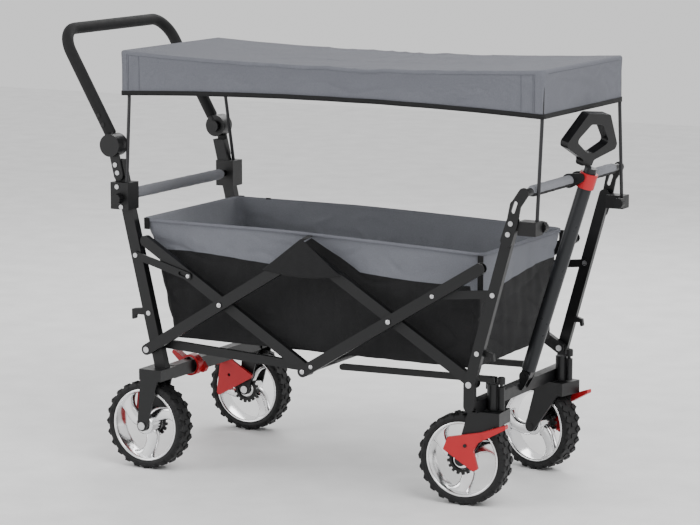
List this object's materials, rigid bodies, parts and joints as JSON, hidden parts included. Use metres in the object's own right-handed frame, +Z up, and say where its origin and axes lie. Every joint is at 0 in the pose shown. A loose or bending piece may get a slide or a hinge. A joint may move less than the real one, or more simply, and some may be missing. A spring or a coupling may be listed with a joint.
{
  "type": "folding pull wagon",
  "caption": "Folding four-wheel wagon with a fabric basket on a cross-bar frame, a telescoping pull handle, a tilting push handle and a removable box canopy.",
  "frame": {"origin": "on the floor, under the middle of the wagon's length and width", "axes": "+X towards the front (pull handle), +Y towards the wagon's right side, +Z up"},
  "size_m": [1.275, 0.54, 1.0148],
  "materials": {
    "frame_metal": "dark charcoal satin powder coat",
    "pull_metal": "dark grey satin metallic",
    "pad_grey": "grey woven polyester",
    "basket_black": "black woven polyester with grey bands",
    "foam_black": "matte black foam",
    "plastic_black": "moulded black plastic",
    "rivet_steel": "bright zinc steel",
    "pole_steel": "bright steel rod",
    "rim_chrome": "bright chromed finish",
    "tyre_rubber": "matte black rubber",
    "red_plastic": "satin red plastic"
  },
  "bodies": {
    "rear_frame": {"rear_posts": "frame_metal", "rear_cross_tubes": "frame_metal", "rear_grip_pad": "pad_grey", "rear_forks": "frame_metal", "canopy_clamps_rear": "plastic_black", "rear_hooks": "plastic_black", "handle_joints_lower": "plastic_black", "rear_pins": "rivet_steel", "canopy_bow_rear": "pole_steel", "canopy_fabric": "pad_grey", "basket_fabric": "basket_black"},
    "bar_rear_outer": {"bar_rear_outer": "frame_metal"},
    "bar_rear_inner": {"bar_rear_inner": "frame_metal", "centre_cross_tube": "frame_metal"},
    "bar_front_inner": {"bar_front_inner": "frame_metal"},
    "bar_front_outer": {"bar_front_outer": "frame_metal"},
    "front_frame": {"front_posts": "frame_metal", "front_cross_tubes": "frame_metal", "front_grip_pad": "pad_grey", "caster_housings": "frame_metal", "pull_bracket": "frame_metal", "front_top_brackets": "frame_metal", "canopy_clamps_front": "plastic_black", "front_hooks": "plastic_black", "front_rivets": "rivet_steel", "handle_clip": "plastic_black", "canopy_bow_front": "pole_steel"},
    "link_rear": {"link_rear": "frame_metal"},
    "link_front": {"link_front": "frame_metal"},
    "floor_bar_rear": {"floor_bar_rear": "frame_metal"},
    "floor_bar_front": {"floor_bar_front": "frame_metal"},
    "push_handle": {"push_handle_tube": "foam_black", "push_handle_joints": "plastic_black"},
    "push_button_left": {"push_button_left": "plastic_black"},
    "push_button_right": {"push_button_right": "plastic_black"},
    "pull_tube": {"pull_tube_outer": "pull_metal", "pull_collar": "red_plastic"},
    "pull_rod": {"pull_tube_inner": "pull_metal", "pull_grip": "plastic_black"},
    "foot_lever": {"foot_lever": "red_plastic"},
    "wheel_rear_left": {"tyre_rear_left": "tyre_rubber", "rim_rear_left": "rim_chrome"},
    "wheel_front_left": {"tyre_front_left": "tyre_rubber", "rim_front_left": "rim_chrome"},
    "caster_left": {"caster_fork_left": "frame_metal"},
    "brake_rear_left": {"brake_rear_left": "plastic_black"},
    "brake_front_left": {"brake_front_left": "plastic_black"},
    "swivel_lock_left": {"swivel_lock_left": "plastic_black"},
    "canopy_knob_rear_left": {"canopy_knob_rear_left": "plastic_black"},
    "canopy_knob_front_left": {"canopy_knob_front_left": "plastic_black"},
    "wheel_rear_right": {"tyre_rear_right": "tyre_rubber", "rim_rear_right": "rim_chrome"},
    "wheel_front_right": {"tyre_front_right": "tyre_rubber", "rim_front_right": "rim_chrome"},
    "caster_right": {"caster_fork_right": "frame_metal"},
    "brake_rear_right": {"brake_rear_right": "plastic_black"},
    "brake_front_right": {"brake_front_right": "plastic_black"},
    "swivel_lock_right": {"swivel_lock_right": "plastic_black"},
    "canopy_knob_rear_right": {"canopy_knob_rear_right": "plastic_black"},
    "canopy_knob_front_right": {"canopy_knob_front_right": "plastic_black"}
  },
  "joints": [
    {"name": "fold", "type": "hinge", "parent": "rear_frame", "child": "bar_rear_outer", "pos_m": [-0.388, 0, 0.28], "axis": [0, -1, 0], "range_deg": [0, 42], "deforming": ["basket_fabric", "canopy_fabric"]},
    {"name": "cross_rear", "type": "hinge", "parent": "bar_rear_outer", "child": "bar_rear_inner", "pos_m": [-0.19189, 0, 0.40018], "axis": [0, -1, 0], "range_deg": [-84, 0]},
    {"name": "middle_top", "type": "hinge", "parent": "bar_rear_outer", "child": "bar_front_inner", "pos_m": [0.02297, 0, 0.53184], "axis": [0, -1, 0], "range_deg": [-84, 0]},
    {"name": "cross_front", "type": "hinge", "parent": "bar_front_inner", "child": "bar_front_outer", "pos_m": [0.23784, 0, 0.40018], "axis": [0, -1, 0], "range_deg": [0, 84]},
    {"name": "front_frame_pivot", "type": "hinge", "parent": "bar_front_inner", "child": "front_frame", "pos_m": [0.43395, 0, 0.28], "axis": [0, -1, 0], "range_deg": [0, 42]},
    {"name": "link_rear_pivot", "type": "hinge", "parent": "rear_frame", "child": "link_rear", "pos_m": [-0.42378, 0, 0.4945], "axis": [0, -1, 0], "range_deg": [0, 74]},
    {"name": "link_front_pivot", "type": "hinge", "parent": "front_frame", "child": "link_front", "pos_m": [0.48895, 0, 0.48], "axis": [0, -1, 0], "range_deg": [-74, 0]},
    {"name": "floor_bar_rear_pivot", "type": "hinge", "parent": "rear_frame", "child": "floor_bar_rear", "pos_m": [-0.37544, 0, 0.29], "axis": [0, -1, 0], "range_deg": [0, 70]},
    {"name": "floor_bar_front_pivot", "type": "hinge", "parent": "front_frame", "child": "floor_bar_front", "pos_m": [0.414, 0, 0.262], "axis": [0, -1, 0], "range_deg": [-70, 0]},
    {"name": "push_handle_tilt", "type": "hinge", "parent": "rear_frame", "child": "push_handle", "pos_m": [-0.483, 0, 0.745], "axis": [0, -1, 0], "range_deg": [-15, 110]},
    {"name": "push_button_left", "type": "slide", "parent": "push_handle", "child": "push_button_left", "axis": [0, -1, 0], "range_m": [0, 0.0044], "stiffness_N_per_m": 600},
    {"name": "push_button_right", "type": "slide", "parent": "push_handle", "child": "push_button_right", "axis": [0, 1, 0], "range_m": [0, 0.0044], "stiffness_N_per_m": 600},
    {"name": "pull_tilt", "type": "hinge", "parent": "front_frame", "child": "pull_tube", "pos_m": [0.455, 0, 0.258], "axis": [0, 1, 0], "range_deg": [0, 90]},
    {"name": "pull_extend", "type": "slide", "parent": "pull_tube", "child": "pull_rod", "axis": [0.2974, 0, 0.9548], "range_m": [0, 0.3]},
    {"name": "foot_lever_press", "type": "hinge", "parent": "rear_frame", "child": "foot_lever", "pos_m": [-0.359, 0, 0.222], "axis": [0, -1, 0], "range_deg": [0, 12], "stiffness_Nm_per_rad": 3},
    {"name": "wheel_rear_left", "type": "hinge", "parent": "rear_frame", "child": "wheel_rear_left", "pos_m": [-0.3955, -0.229, 0.1025], "axis": [0, 1, 0], "continuous": true},
    {"name": "caster_left", "type": "hinge", "parent": "front_frame", "child": "caster_left", "pos_m": [0.458, -0.18, 0.24], "axis": [0, 0, 1], "continuous": true},
    {"name": "wheel_front_left", "type": "hinge", "parent": "caster_left", "child": "wheel_front_left", "pos_m": [0.39515, -0.1844, 0.1025], "axis": [-0.0698, 0.9976, 0], "continuous": true},
    {"name": "brake_rear_left", "type": "hinge", "parent": "rear_frame", "child": "brake_rear_left", "pos_m": [-0.4285, -0.229, 0.139], "axis": [0, -1, 0], "range_deg": [0, 8]},
    {"name": "brake_front_left", "type": "hinge", "parent": "caster_left", "child": "brake_front_left", "pos_m": [0.41012, -0.18335, 0.1385], "axis": [-0.0698, 0.9976, 0], "range_deg": [0, 8]},
    {"name": "swivel_lock_left", "type": "slide", "parent": "front_frame", "child": "swivel_lock_left", "axis": [0, 0, 1], "range_m": [0, 0.008], "stiffness_N_per_m": 400},
    {"name": "canopy_knob_rear_left", "type": "hinge", "parent": "rear_frame", "child": "canopy_knob_rear_left", "pos_m": [-0.45487, -0.262, 0.626], "axis": [0, 1, 0], "continuous": true},
    {"name": "canopy_knob_front_left", "type": "hinge", "parent": "front_frame", "child": "canopy_knob_front_left", "pos_m": [0.583, -0.207, 0.628], "axis": [0, 1, 0], "continuous": true},
    {"name": "wheel_rear_right", "type": "hinge", "parent": "rear_frame", "child": "wheel_rear_right", "pos_m": [-0.3955, 0.229, 0.1025], "axis": [0, 1, 0], "continuous": true},
    {"name": "caster_right", "type": "hinge", "parent": "front_frame", "child": "caster_right", "pos_m": [0.458, 0.18, 0.24], "axis": [0, 0, 1], "continuous": true},
    {"name": "wheel_front_right", "type": "hinge", "parent": "caster_right", "child": "wheel_front_right", "pos_m": [0.39661, 0.19417, 0.1025], "axis": [0.225, 0.9744, 0], "continuous": true},
    {"name": "brake_rear_right", "type": "hinge", "parent": "rear_frame", "child": "brake_rear_right", "pos_m": [-0.4285, 0.229, 0.139], "axis": [0, -1, 0], "range_deg": [0, 8]},
    {"name": "brake_front_right", "type": "hinge", "parent": "caster_right", "child": "brake_front_right", "pos_m": [0.41123, 0.1908, 0.1385], "axis": [0.225, 0.9744, 0], "range_deg": [0, 8]},
    {"name": "swivel_lock_right", "type": "slide", "parent": "front_frame", "child": "swivel_lock_right", "axis": [0, 0, 1], "range_m": [0, 0.008], "stiffness_N_per_m": 400},
    {"name": "canopy_knob_rear_right", "type": "hinge", "parent": "rear_frame", "child": "canopy_knob_rear_right", "pos_m": [-0.45487, 0.262, 0.626], "axis": [0, 1, 0], "continuous": true},
    {"name": "canopy_knob_front_right", "type": "hinge", "parent": "front_frame", "child": "canopy_knob_front_right", "pos_m": [0.583, 0.207, 0.628], "axis": [0, 1, 0], "continuous": true}
  ],
  "couplings": [
    {"joint": "cross_rear", "follows": "fold", "ratio": -2},
    {"joint": "middle_top", "follows": "fold", "ratio": -2},
    {"joint": "cross_front", "follows": "fold", "ratio": 2},
    {"joint": "front_frame_pivot", "follows": "fold", "ratio": 1},
    {"joint": "link_rear_pivot", "follows": "fold", "ratio": 1.75},
    {"joint": "link_front_pivot", "follows": "fold", "ratio": -1.75},
    {"joint": "floor_bar_rear_pivot", "follows": "fold", "ratio": 1.6},
    {"joint": "floor_bar_front_pivot", "follows": "fold", "ratio": -1.6}
  ]
}
